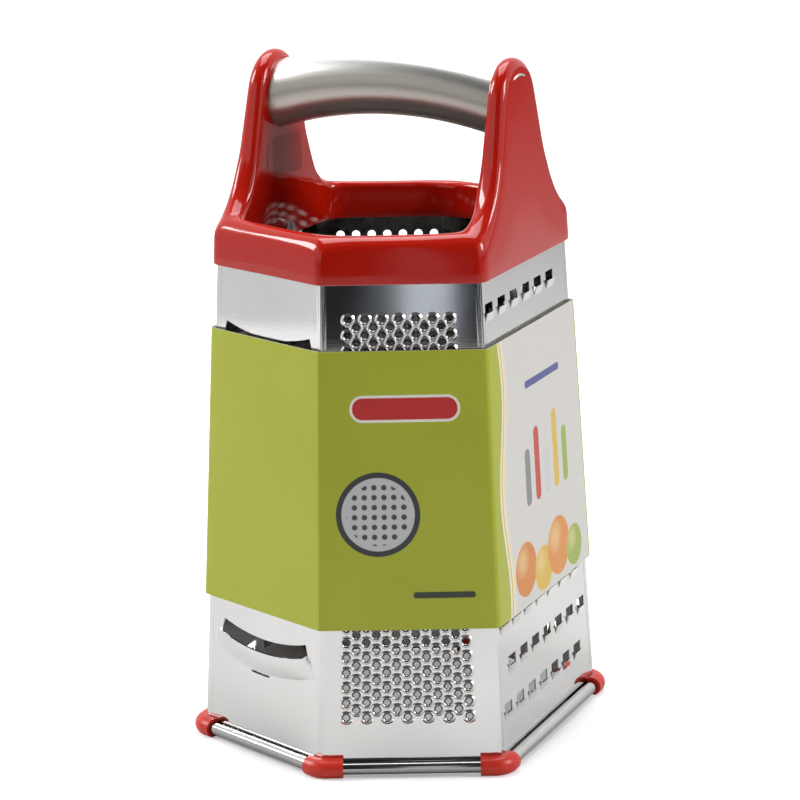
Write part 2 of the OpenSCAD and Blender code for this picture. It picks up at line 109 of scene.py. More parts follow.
def noise_between(tree, place, scale, low=0.0, high=1.0, detail=3.0):
    """Noise whose value, mostly 0.3 to 0.7, is spread out to run from low to high."""
    noise = node(tree, "ShaderNodeTexNoise", Scale=scale, Detail=detail)
    tree.links.new(place, noise.inputs["Vector"])
    return spread(tree, noise.outputs["Fac"], 0.3, 0.7, low, high)


def mixed_colour(tree, share, first, second):
    """Colour between two others, each given as a tuple or as the output of a node."""
    mix = node(tree, "ShaderNodeMix", data_type="RGBA")
    tree.links.new(share, mix.inputs["Factor"])
    for side, colour in (("A", first), ("B", second)):
        if isinstance(colour, tuple):
            mix.inputs[side].default_value = colour
        else:
            tree.links.new(colour, mix.inputs[side])
    return mix.outputs["Result"]


def bump_from(tree, height, strength, distance, before=None):
    bump = node(tree, "ShaderNodeBump", Strength=strength, Distance=distance)
    tree.links.new(height, bump.inputs["Height"])
    if before is not None:
        tree.links.new(before, bump.inputs["Normal"])
    return bump.outputs["Normal"]


def facing_out(tree):
    """1 on faces that look away from the grater's axis, 0 on faces that look towards it."""
    dot = node(tree, "ShaderNodeVectorMath", operation="DOT_PRODUCT")
    tree.links.new(coordinates(tree, "Object"), dot.inputs[0])
    tree.links.new(coordinates(tree, "Normal"), dot.inputs[1])
    edge = 8 * mm
    return spread(tree, dot.outputs["Value"], -edge, edge)


def shaded_steel(tree, colour):
    """Wall colour with painted shade, darker on the under side of the bead and on the inside of the body.
    """
    # painted shade colours: the bead's under side, which stands in for the contact shadow it mirrors, and
    # the inside faces
    bead_shade, inner_shade = (0.26, 0.255, 0.245, 1), (0.50, 0.49, 0.48, 1)
    bead_dark, bead_light = 1.5 * mm, 6.5 * mm
    height = height_part(tree, coordinates(tree, "Object"))
    above_bead = spread(tree, height, bead_dark, bead_light)
    outer = mixed_colour(tree, above_bead, bead_shade, colour)
    return mixed_colour(tree, facing_out(tree), inner_shade, outer)


def steel(name, stretch, tones, roughness, wave, grain_share, grain_bump, shade=None):
    """Stainless steel with a fine directional grain and a slow waviness."""
    material, tree, shader = new_material(name)
    shader.inputs["Metallic"].default_value = 1.0
    plain_place = stretched(tree, (1, 1, 1))
    grain = noise_between(tree, stretched(tree, stretch), scale=1.0)
    cloud = noise_between(tree, plain_place, scale=26.0, detail=2.0)
    cloud_part = node(tree, "ShaderNodeMath", operation="MULTIPLY")
    cloud_part.inputs[1].default_value = 1 - grain_share
    tree.links.new(cloud, cloud_part.inputs[0])
    blend = node(tree, "ShaderNodeMath", operation="MULTIPLY_ADD")
    blend.inputs[1].default_value = grain_share
    tree.links.new(grain, blend.inputs[0])
    tree.links.new(cloud_part.outputs["Value"], blend.inputs[2])
    colour = mixed_colour(tree, blend.outputs["Value"], *tones)
    if shade is not None:
        colour = shade(tree, colour)
    tree.links.new(colour, shader.inputs["Base Color"])
    rough = spread(tree, blend.outputs["Value"], 0.0, 1.0, *roughness)
    tree.links.new(rough, shader.inputs["Roughness"])
    waves = noise_between(tree, plain_place, scale=14.0, detail=1.0)
    wavy = bump_from(tree, waves, strength=wave, distance=0.004)
    fine = bump_from(tree, grain, strength=grain_bump, distance=0.0002, before=wavy)
    tree.links.new(fine, shader.inputs["Normal"])
    return material


def finish_node(name, material):
    """Gives a solid of the frame its material."""
    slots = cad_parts[name].data.materials
    slots.clear()
    slots.append(material)


sheet_steel = steel(
    "rolled stainless sheet", stretch=(90, 90, 2600),
    tones=((0.68, 0.675, 0.67, 1), (0.74, 0.74, 0.735, 1)), roughness=(0.04, 0.08),
    wave=0.02, grain_share=0.15, grain_bump=0.006, shade=shaded_steel
)
for name in wall_nodes:
    finish_node(name, sheet_steel)


# Rounded folds
# Where two walls meet the sheet is bent to a small radius and its edge is lapped over the next
# wall. Each fold is a narrow strip that follows the bend and stands a hair proud of the walls.
fold_low, fold_high = 8.5, 177.5
fold_flange, fold_round, fold_proud, fold_edge, strip_columns = 1.4, 1.0, 0.12, 0.02, 12


def along(i):
    """Level direction along wall i, to the right as seen from outside."""
    return Vector((math.cos(turns[i]), math.sin(turns[i]), 0))


def facing(angle):
    """Level direction at an angle round the axis, counted from the front."""
    return Vector((math.sin(angle), -math.cos(angle), 0))


def outward(i):
    return facing(turns[i])


def shrink(z):
    """Share of the width at the beads that is left at height z."""
    return 1 - taper * (z - bead_z)


def deselect():
    bpy.ops.object.select_all(action="DESELECT")


def only(piece):
    deselect()
    piece.select_set(True)
    bpy.context.view_layer.objects.active = piece


def add_grid(name, columns, rows, point):
    """Grid primitive whose vertices are then set in place; point(s, t) gives a place in metres."""
    deselect()
    bpy.ops.mesh.primitive_grid_add(x_subdivisions=columns, y_subdivisions=rows, size=1)
    piece = bpy.context.object
    piece.name = name
    for v in piece.data.vertices:
        v.co = point(v.co.x + 0.5, v.co.y + 0.5)
    return piece


def smooth(piece, angle=40):
    only(piece)
    bpy.ops.object.shade_smooth_by_angle(angle=math.radians(angle))


def outside(piece):
    only(piece)
    bpy.ops.object.mode_set(mode="EDIT")
    bpy.ops.mesh.select_all(action="SELECT")
    bpy.ops.mesh.normals_make_consistent(inside=False)
    bpy.ops.object.mode_set(mode="OBJECT")


def fold_strip(k):
    """Strip round corner k, where wall i ends and wall j starts."""
    i, j = (k + 5) % 6, k
    bend = turns[j] - (turns[i] - (2 * math.pi if k == 0 else 0))
    tangent_len = fold_round * math.tan(bend / 2)

    def point(s, t):
        z = fold_low + (fold_high - fold_low) * t
        corner = Vector((corners[k][0], corners[k][1], 0)) * shrink(z)
        cover = fold_proud + fold_round * (1 / math.cos(bend / 2) - 1)
        d = (s - 0.5) * 2
        if abs(d) > 0.5:
            wall_i, sign = (i, -1) if d < 0 else (j, 1)
            far = tangent_len + fold_flange * (abs(d) - 0.5) * 2
            proud = fold_proud if abs(d) < 0.99 else fold_edge
            place = corner + along(wall_i) * sign * far + outward(wall_i) * proud
        else:
            bent = facing(turns[i] + bend * (d + 0.5))
            centre_i = corner - outward(i) * (fold_round - fold_proud) - along(i) * tangent_len
            centre_j = corner - outward(j) * (fold_round - fold_proud) + along(j) * tangent_len
            centre = (centre_i + centre_j) / 2
            place = centre + bent * (fold_round + cover * math.cos(d * math.pi) ** 2)
        return (place + Vector((0, 0, z))) * mm

    strip = add_grid("wall_fold_%d" % (k + 1), strip_columns, 1, point)
    outside(strip)
    smooth(strip)
    strip.data.materials.append(sheet_steel)
    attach(strip, "grater")


for k in range(6):
    fold_strip(k)


# Rasp points
# The fine rasp is punched from the inside with a round pin, so each hole stands in the middle
# of a small crater with a sharp torn rim.
rasp_rows, rasp_count, rasp_step, rasp_shift = 53, 7, 2.63, 1.0
rasp_pitch_top, rasp_pitch_low, rasp_top, rasp_lift = 5.6, 7.0, neck_h - 12, 0.01
crater_foot, crater_rim, crater_mouth = 2.45, 1.72, 1.06
crater_height, crater_dip, crater_sides = 0.62, 0.55, 20
flank_share, flank_height_share, neck_share = 0.4, 0.35, 0.97
rim_shares, rim_height_shares = [1.06, 0.96, 0.86], [0.92, 1.0, 0.9]


def reach(i):
    """Distance of wall i from the axis at the level of the beads."""
    return corners[i][0] * outward(i).x + corners[i][1] * outward(i).y


def lean(i):
    return math.atan(reach(i) * taper)


def middle(i, z):
    """Place along wall i of its middle line at height z."""
    a, b = corners[i], corners[(i + 1) % 6]
    return ((a[0] + b[0]) * along(i).x + (a[1] + b[1]) * along(i).y) / 2 * shrink(z)


def slope(i, z):
    return (z - bead_z) / math.cos(lean(i))


def wall_axes(i):
    """Directions along wall i, up its slope and out of its face."""
    face = outward(i) * math.cos(lean(i)) + Vector((0, 0, math.sin(lean(i))))
    return along(i), face.cross(along(i)), face


def on_wall(i, x, y, out):
    """Point x along wall i, y up its slope from the bead and out from its face, in metres."""
    right, up, face = wall_axes(i)
    return (outward(i) * reach(i) + Vector((0, 0, bead_z)) + right * x + up * y + face * out) * mm


def painted_shade_rim_metal(name):
    """Bare metal inside a punched rim, with painted shade on the half that looks down."""
    material, tree, shader = new_material(name)
    shader.inputs["Metallic"].default_value = 1.0
    # dark painted shade where a face looks down, the inside wall tone where it looks up
    shade, bright, turn_over = (0.03, 0.03, 0.03, 1), (0.50, 0.49, 0.48, 1), 0.25
    up = spread(tree, height_part(tree, coordinates(tree, "Normal")), -turn_over, turn_over)
    tree.links.new(mixed_colour(tree, up, shade, bright), shader.inputs["Base Color"])
    rough = noise_between(tree, stretched(tree, (1, 1, 1)), scale=900.0, low=0.15, high=0.35)
    tree.links.new(rough, shader.inputs["Roughness"])
    return material


painted_shade_rim_steel = painted_shade_rim_metal("steel inside the punched rims with painted shade")


def crater():
    """One crater, on the origin, with its mouth along +Z."""
    deselect()
    bpy.ops.mesh.primitive_circle_add(vertices=crater_sides, radius=crater_foot * mm, fill_type="NOTHING")
    piece = bpy.context.object
    bpy.ops.object.mode_set(mode="EDIT")
    bpy.ops.mesh.select_all(action="SELECT")
    flank = crater_foot + (crater_rim - crater_foot) * flank_share
    rim = [
        (crater_rim * share, crater_height * height_share)
        for share, height_share in zip(rim_shares, rim_height_shares)
    ]
    throat = [(crater_mouth, crater_height - crater_dip), (crater_mouth * neck_share, -sheet_t)]
    radius, height = crater_foot, 0.0
    for next_radius, next_height in [(flank, crater_height * flank_height_share)] + rim + throat:
        bpy.ops.mesh.extrude_edges_move(
            TRANSFORM_OT_translate={"value": (0, 0, (next_height - height) * mm)}
        )
        share = next_radius / radius
        bpy.ops.transform.resize(value=(share, share, 1), center_override=(0, 0, next_height * mm))
        radius, height = next_radius, next_height
    bpy.ops.object.mode_set(mode="OBJECT")
    piece.data.materials.append(sheet_steel)
    piece.data.materials.append(painted_shade_rim_steel)
    # faces inside the rim take the metal with painted shade
    for face in piece.data.polygons:
        if face.center.xy.length < crater_rim * 0.95 * mm:
            face.material_index = 1
    return piece


def copies_on_wall(pattern, places, name):
    """Joins copies of a pattern set at places (wall, x, y, out), and removes the pattern."""
    parts = []
    for i, x, y, out in places:
        part = pattern.copy()
        part.data = pattern.data.copy()
        bpy.context.collection.objects.link(part)
        turn = Matrix(wall_axes(i)).transposed().to_4x4()
        part.data.transform(Matrix.Translation(on_wall(i, x, y, out)) @ turn)
        parts.append(part)
    deselect()
    for part in parts:
        part.select_set(True)
    bpy.context.view_layer.objects.active = parts[0]
    bpy.ops.object.join()
    joined = bpy.context.object
    joined.name = name
    bpy.data.objects.remove(pattern)
    return joined


rasp_places = []
for r in range(rasp_rows):
    z = rasp_top - r * rasp_step
    n = rasp_count - r % 2
    pitch = rasp_pitch_top + (rasp_pitch_low - rasp_pitch_top) * r / (rasp_rows - 1)
    for k in range(n):
        x = middle(0, z) - rasp_shift + (k - (n - 1) / 2) * pitch
        rasp_places.append((0, x, slope(0, z), rasp_lift))
rasp = copies_on_wall(crater(), rasp_places, "rasp_points")
outside(rasp)
smooth(rasp, angle=60)
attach(rasp, "grater")


# Slicing blades
# Below each curved slot the sheet is pressed outwards into a shallow pillow with closed ends.
# Its upper edge is ground into a blade.
slot_heights, slot_len, slot_curve, slot_gape = [147, 94, 41], 43.0, 75.0, 4.6
blade_w, blade_rise, blade_t, blade_lift = 6.9, 1.5, 0.3, 0.03
blade_over, blade_tuck, blade_root, blade_full = 1.04, 0.15, 0.7, 1.02
end_steepness, swell = 7, 0.8
blade_columns, blade_rows = 36, 8


def finish_modifiers(piece):
    only(piece)
    for modifier in list(piece.modifiers):
        bpy.ops.object.modifier_apply(modifier=modifier.name)


def blade(z, number):
    """Pillow under the slot at height z, a little longer than the slot."""
    half = math.asin(slot_len / 2 / slot_curve) * blade_over

    def point(s, t):
        turn = (s - 0.5) * 2 * half
        radius = slot_curve + slot_gape - blade_tuck + (blade_w + blade_root) * (1 - t)
        ends = math.sqrt(max(0.0, 1 - abs(2 * s - 1) ** end_steepness))
        rise = blade_rise * ends * math.sin(min(t * blade_full, 1) * math.pi / 2) ** swell
        x = middle(5, z) + radius * math.sin(turn)
        y = slope(5, z) + slot_curve - radius * math.cos(turn)
        return on_wall(5, x, y, blade_lift + rise)

    piece = add_grid("slicing_blade_%d" % number, blade_columns, blade_rows, point)
    outside(piece)
    wall = piece.modifiers.new("sheet", "SOLIDIFY")
    wall.thickness = blade_t * mm
    wall.offset = -1
    finish_modifiers(piece)
    smooth(piece, angle=50)
    piece.data.materials.append(sheet_steel)
    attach(piece, "grater")


for number, z in enumerate(slot_heights):
    blade(z, number + 1)


# Collar with its two horns
# One glossy red moulding. A hollow band sits over the top edge of the walls, and on each wide
# wall it sweeps up into a horn that holds one end of the handle.
lip, rim_w, skin = 2.0, 6.5, 2.0
collar_top = 184.5
horn_top, horn_round, horn_flank, flare_top, flare_r = 238.0, 15.5, math.radians(15.8), 209.0, 40.0
skirt_rise, sheet_top, room = 2.5, 178.0, 0.1
roll_horn, horn_blend, horn_t = 3.2, 16.0, 6.3
outer_roll_share, inner_roll_share, horn_roll_share, roll_steps = 0.70, 0.27, 0.48, 7
hem, hem_edge, hem_round, hem_inset, inner_hem, edge_soft = 0.8, 0.5, 0.25, 0.12, 0.4, 1.6
skirt_shares = [0.33, 0.66]
opening_w = 2 * (reach(1) * shrink(horn_top) + lip - horn_t)


def red_plastic(name, low, high, rough_low):
    """Moulded plastic, clouded a little and with the slow waves of its flow in the mould."""
    material, tree, shader = new_material(name)
    place = stretched(tree, (1, 1, 1))
    cloud = noise_between(tree, place, scale=30.0)
    tree.links.new(mixed_colour(tree, cloud, low, high), shader.inputs["Base Color"])
    rough = noise_between(tree, place, scale=90.0, low=rough_low, high=rough_low + 0.05)
    tree.links.new(rough, shader.inputs["Roughness"])
    shader.inputs["IOR"].default_value = 1.45
    flow = noise_between(tree, place, scale=22.0, detail=1.0)
    waves = bump_from(tree, flow, strength=0.008, distance=0.002)
    tree.links.new(waves, shader.inputs["Normal"])
    return material


glossy_red = red_plastic(
    "glossy red plastic", low=(0.42, 0.008, 0.002, 1), high=(0.47, 0.010, 0.003, 1), rough_low=0.07
)


def profile_height(y):
    """Height of the horn's edge at distance y from its middle plane, down to the rim."""
    centre = horn_top - horn_round
    flank_z = centre + horn_round * math.sin(horn_flank)
    flank_y = horn_round * math.cos(horn_flank)
    flare_y = flank_y + (flank_z - flare_top) * math.tan(horn_flank)
    y = abs(y)
    if y < flank_y:
        return centre + math.sqrt(horn_round ** 2 - y * y)
    if y < flare_y:
        return flank_z - (y - flank_y) / math.tan(horn_flank)
    c = math.cos(horn_flank) - (y - flare_y) / flare_r
    s = math.sqrt(max(1 - c * c, 0))
    return flare_top - flare_r * (s - math.sin(horn_flank))


def outer_line(z):
    """Distance of the collar's outer face from the axis on the narrow and the wide walls."""
    return reach(0) * shrink(z) + lip, reach(1) * shrink(z) + lip


def inner_line(z):
    return reach(0) * shrink(z) + lip - rim_w, opening_w / 2


def arc_centres(narrow, wide, radius_front, radius_end):
    """Centres of the arcs at the front fold and at the corner of the +X wall, in plan."""
    c, s = math.cos(side_turn), math.sin(side_turn)
    front = Vector((0, -(narrow - radius_front) / c))
    x = wide - radius_end
    return front, Vector((x, (s * x - (narrow - radius_end)) / c))


def heading(angle):
    """The same direction in plan."""
    return facing(angle).xy


# lengths along the outer face of a quarter, from the front fold to the middle of the horn
front_arc, end_arc, inner_front_arc, inner_end_arc = 5.0, 4.0, 32.0, 10.0
front_c, end_c = arc_centres(*outer_line(collar_top), front_arc, end_arc)
arc_1 = front_arc * side_turn
side_len = (end_c - front_c).dot(Vector((math.cos(side_turn), math.sin(side_turn))))
arc_2 = end_arc * (math.pi / 2 - side_turn)
end_len = -end_c.y
marks = [0, arc_1, arc_1 + side_len, arc_1 + side_len + arc_2, arc_1 + side_len + arc_2 + end_len]
# the broader arcs of the inner face take up more of the same length
inner_front_more, inner_end_more = 11, 4
inner_marks = [
    0, marks[1] + inner_front_more, marks[2] - inner_end_more, marks[3] + inner_end_more, marks[4],
]
horn_clear = 20
wide_step, bend_step, flat_step, bend_lead, flat_lead, probe = 2.1, 0.75, 4.0, 1, 5, 0.05


def plan(length, z, inside):
    """Place in plan at a length along the quarter, on the outer or the inner face at height z."""
    line = inner_line(z) if inside else outer_line(z)
    radii = (inner_front_arc, inner_end_arc) if inside else (front_arc, end_arc)
    stops = inner_marks if inside else marks
    front, end = arc_centres(*line, *radii)
    if length <= stops[1]:
        return front + heading(side_turn * length / stops[1]) * radii[0]
    if length <= stops[2]:
        f = (length - stops[1]) / (stops[2] - stops[1])
        return (front + heading(side_turn) * radii[0]).lerp(end + heading(side_turn) * radii[1], f)
    if length <= stops[3]:
        f = (length - stops[2]) / (stops[3] - stops[2])
        return end + heading(side_turn + (math.pi / 2 - side_turn) * f) * radii[1]
    y = end_c.y + length - marks[3]
    start_y = end_c.y + stops[3] - marks[3]
    f = min(max((-y - horn_clear) / (-start_y - horn_clear), 0), 1)
    y += (end.y - start_y) * f * f * (3 - 2 * f) if inside else 0
    return Vector((line[1], y))


def edge_height(length):
    y = plan(length, collar_top, False).y
    rise = profile_height(y) - collar_top
    return collar_top + (rise + math.hypot(rise, edge_soft)) / 2


def climb(length):
    """Rise of the upper edge for each millimetre of length."""
    return (edge_height(length + probe) - edge_height(length - probe)) / (2 * probe)


def stations():
    """Lengths along the quarter, close together where the edge bends or climbs."""
    found, length = [0.0], 0.0
    while length < marks[4]:
        step = wide_step / math.hypot(1, climb(length))
        if length < marks[1] or marks[2] - bend_lead < length < marks[3]:
            step = min(step, bend_step)
        elif inner_marks[1] < length < marks[2] - flat_lead:
            step = flat_step
        length += step
        found.append(length)
    scale = marks[4] / found[-1]
    return [f * scale for f in found]


def section(length):
    """Closed outline across the collar: outer roll, skirt, channel over the sheet, inner roll."""
    at_crest = length > marks[4] - probe / 5
    slope_here = 0 if at_crest else math.atan(climb(length))
    height = edge_height(length)
    width = (plan(length, height, False) - plan(length, height, True)).length
    up = min((height - collar_top) / horn_blend, 1)
    horn_roll = min(roll_horn, width * horn_roll_share) * up
    roll = horn_roll + width * outer_roll_share * (1 - up)
    inner_roll = horn_roll + width * inner_roll_share * (1 - up)
    rings = []

    def at(side_length, z, inside, inset):
        place = plan(side_length, z, inside)
        other = plan(side_length, z, not inside)
        place = place + (other - place).normalized() * inset
        return (place.x, place.y, z)

    def roll_point(k, radius, inside):
        angle = math.pi / 2 * k / roll_steps
        sink = radius * (1 - math.cos(angle))
        side_length = length + math.sin(slope_here) * sink
        return at(side_length, height - math.cos(slope_here) * sink, inside, radius * (1 - math.sin(angle)))

    for k in range(roll_steps + 1):
        rings.append(roll_point(k, roll, False))
    low_length = length + math.sin(slope_here) * roll
    z_end = height - math.cos(slope_here) * roll
    hem_z, inner_low = neck_h + hem, neck_h + skirt_rise
    inner_hem_z = inner_low + hem_edge
    outer_side = [(z_end + (hem_z - z_end) * share, False, 0) for share in skirt_shares]
    inner_side = [(z_end + (inner_hem_z - z_end) * share, True, 0) for share in reversed(skirt_shares)]
    channel = [
        (hem_z, False, 0), (neck_h + hem_round, False, hem_inset), (neck_h, False, hem_edge),
        (neck_h, False, lip - room), (sheet_top + room, False, lip - room),
        (sheet_top + room, True, skin), (inner_low, True, skin), (inner_low, True, inner_hem),
        (inner_hem_z, True, 0),
    ]
    for z, inside, inset in outer_side + channel + inner_side:
        rings.append(at(low_length, z, inside, inset))
    for k in range(roll_steps, 0, -1):
        rings.append(roll_point(k, inner_roll, True))
    return rings


quarter = [section(length) for length in stations()]
rear_quarter = [[(x, -y, z) for x, y, z in ring] for ring in reversed(quarter[:-1])]
right_half = quarter + rear_quarter
left_half = [[(-x, y, z) for x, y, z in ring] for ring in reversed(right_half[1:-1])]
ring_points = right_half + left_half
deselect()
ring_count, ring_size = len(ring_points), len(ring_points[0])
bpy.ops.mesh.primitive_torus_add(
    major_segments=ring_count, minor_segments=ring_size,
    major_radius=body_w / 2 * mm, minor_radius=rim_w / 2 * mm
)
collar = bpy.context.object
collar.name = "collar_moulding"
for index, v in enumerate(collar.data.vertices):
    v.co = Vector(ring_points[index // ring_size][index % ring_size]) * mm
outside(collar)
smooth(collar)
collar.data.materials.append(glossy_red)
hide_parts("collar")
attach(collar, "grater")


# Horn covers
# A thin red cover is pressed into the inner face of each horn, over the hollow that takes the
# handle's fixing.
for name in ("horn_cover_left", "horn_cover_right"):
    finish_node(name, glossy_red)


# Handle
# A stainless tube bent to a wide arc and brushed along its length. A moulded plug in each end
# slips over a stub inside the horn.
handle_top, tube_d, tube_wall, tube_bend, tube_seat = 240.0, 23.0, 0.7, 150.0, 3.6
tube_sides, tube_steps = 72, 56
tube_end = opening_w / 2 + tube_seat
tube_low = handle_top - tube_d / 2 - tube_bend
tube_half = math.asin(tube_end / tube_bend)
deselect()
bpy.ops.mesh.primitive_circle_add(
    vertices=tube_sides, radius=tube_d / 2 * mm, fill_type="NOTHING", rotation=(0, math.pi / 2, 0)
)
tube = bpy.context.object
tube.name = "handle_tube_bent"
bpy.ops.object.transform_apply(location=True, rotation=True, scale=True)
tube.data.transform(Matrix.Translation((0, 0, tube_bend * mm)))
tube.data.transform(Matrix.Rotation(tube_half, 4, "Y"))
tube.data.transform(Matrix.Translation((0, 0, tube_low * mm)))
bpy.ops.object.mode_set(mode="EDIT")
bpy.ops.mesh.select_all(action="SELECT")
bpy.ops.mesh.spin(
    steps=tube_steps, angle=2 * tube_half, center=(0, 0, tube_low * mm), axis=(0, 1, 0)
)
bpy.ops.object.mode_set(mode="OBJECT")
outside(tube)
tube_sheet = tube.modifiers.new("wall", "SOLIDIFY")
tube_sheet.thickness = tube_wall * mm
tube_sheet.offset = -1
finish_modifiers(tube)
smooth(tube, angle=50)


def painted_sheen_steel(tree, colour):
    """Tube colour with a painted highlight along the top and a paler painted reflection underneath."""
    # painted reflection colour for the under side and painted highlight colour for the top
    pale, bright = (0.50, 0.46, 0.42, 1), (0.82, 0.82, 0.81, 1)
    up = height_part(tree, coordinates(tree, "Normal"))
    under_reflection_share, highlight_share = spread(tree, up, 0.15, -0.25), spread(tree, up, 0.30, 0.75)
    return mixed_colour(tree, highlight_share, mixed_colour(tree, under_reflection_share, colour, pale), bright)


tube_steel = steel(
    "brushed tube steel", stretch=(40, 2600, 2600),
    tones=((0.31, 0.295, 0.262, 1), (0.36, 0.342, 0.305, 1)), roughness=(0.28, 0.33),
    wave=0.002, grain_share=0.85, grain_bump=0.008, shade=painted_sheen_steel
)
tube.data.materials.append(tube_steel)
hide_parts("handle_tube")
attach(tube, "grater")

plug_plastic = red_plastic(
    "matt plug plastic", low=(0.20, 0.008, 0.005, 1), high=(0.26, 0.012, 0.008, 1), rough_low=0.45
)
for name in ("handle_plug_left", "handle_plug_right"):
    finish_node(name, plug_plastic)


# Collar screws
# A turned steel screw passes from inside the collar through each wide wall. Its round head is
# seen through the opening, on the inner face under the horn.
screw_steel = steel(
    "turned screw steel", stretch=(400, 400, 400),
    tones=((0.55, 0.55, 0.55, 1), (0.70, 0.70, 0.70, 1)), roughness=(0.25, 0.4),
    wave=0.0, grain_share=0.45, grain_bump=0.08
)
finish_node("collar_screws", screw_steel)


# Corner feet
# A red moulded cap at each corner, bent round the fold and bored to slip over the ends of the
# two beads. Its flat under side carries the grater.
satin_red = red_plastic(
    "satin red plastic", low=(0.56, 0.022, 0.010, 1), high=(0.60, 0.028, 0.013, 1), rough_low=0.30
)
for place in ("front", "front_right", "rear_right", "rear", "rear_left", "front_left"):
    finish_node("foot_" + place, satin_red)


# Card sleeve
# Coated card, printed lime green with plain generic motifs, folded round the body and glued
# with a short flap behind the rear fold.
sleeve_low, sleeve_h, sleeve_gap, card_t = 51.5, 95.5, 1.4, 0.45
flap, flap_gap = 9.0, 0.05
card_fold = [1.0, 2.2, 1.6, 1.0, 1.6, 2.2]
card_bulge, bulge_even_share, bulge_wave = 0.28, 0.6, 3.1
wall_columns, fold_columns, flap_columns, card_rows = 12, 6, 2, 10
wrap_range, fold_print = 400.0, 0.01
mid_z, card_off = sleeve_low + sleeve_h / 2, sleeve_gap + card_t


def card_corner(k, z):
    """Corner k of the card's outer face at height z, before it is rounded."""
    a, b = outward((k + 5) % 6), outward(k % 6)
    da, db = reach((k + 5) % 6) * shrink(z) + card_off, reach(k % 6) * shrink(z) + card_off
    det = a.x * b.y - a.y * b.x
    return Vector(((da * b.y - db * a.y) / det, (a.x * db - b.x * da) / det, 0))


def wall_span(i):
    return (card_corner(i + 1, mid_z) - card_corner(i, mid_z)).length


# lengths round the card to the start of each wall, counted both ways from the front fold
wrap_start = {}
run = 0.0
for i in (0, 1, 2):
    wrap_start[i] = run
    run += wall_span(i)
run = 0.0
for i in (5, 4, 3):
    run -= wall_span(i)
    wrap_start[i] = run

# each stop is a wall, a share of its span, and a share of the fold after it or the word flap
card_stops = []
for i in (3, 4, 5, 0, 1, 2):
    for c in range(wall_columns + 1):
        card_stops.append((i, c / wall_columns, None))
    for c in range(1, fold_columns):
        card_stops.append((i, 1.0, c / fold_columns))
for c in range(flap_columns + 1):
    card_stops.append((3, c / flap_columns * flap / wall_span(3), "flap"))
card_columns = len(card_stops) - 1


def card_turn(k):
    """Angle by which the card turns at corner k."""
    return (turns[k % 6] - turns[(k + 5) % 6]) % (2 * math.pi)


def card_tangent(k):
    return card_fold[k % 6] * math.tan(card_turn(k) / 2)


def card_point(column, t):
    i, f, bend = card_stops[column]
    z = sleeve_low + sleeve_h * t
    start = card_corner(i, z) + along(i) * card_tangent(i)
    end = card_corner(i + 1, z) - along(i) * card_tangent(i + 1)
    if bend == "flap":
        place = start + along(i) * f * wall_span(i) - outward(i) * (card_t + flap_gap)
    elif bend is None:
        wavy = bulge_even_share + (1 - bulge_even_share) * math.sin(bulge_wave * t + i)
        place = start.lerp(end, f) + outward(i) * card_bulge * math.sin(math.pi * f) * wavy
    else:
        radius = card_fold[(i + 1) % 6]
        place = end + (facing(turns[i] + card_turn(i + 1) * bend) - outward(i)) * radius
    return (place + Vector((0, 0, z))) * mm


sleeve = add_grid(
    "card_sleeve", card_columns, card_rows, lambda s, t: card_point(round(s * card_columns), t)
)
wrap_map = sleeve.data.uv_layers.active
for corner in sleeve.data.loops:
    row, column = divmod(corner.vertex_index, card_columns + 1)
    i, f, bend = card_stops[column]
    u = wrap_start[i] + wall_span(i) * f
    if bend not in (None, "flap"):
        u += bend * fold_print
    wrap_map.data[corner.index].uv = ((u + wrap_range / 2) / wrap_range, row / card_rows)


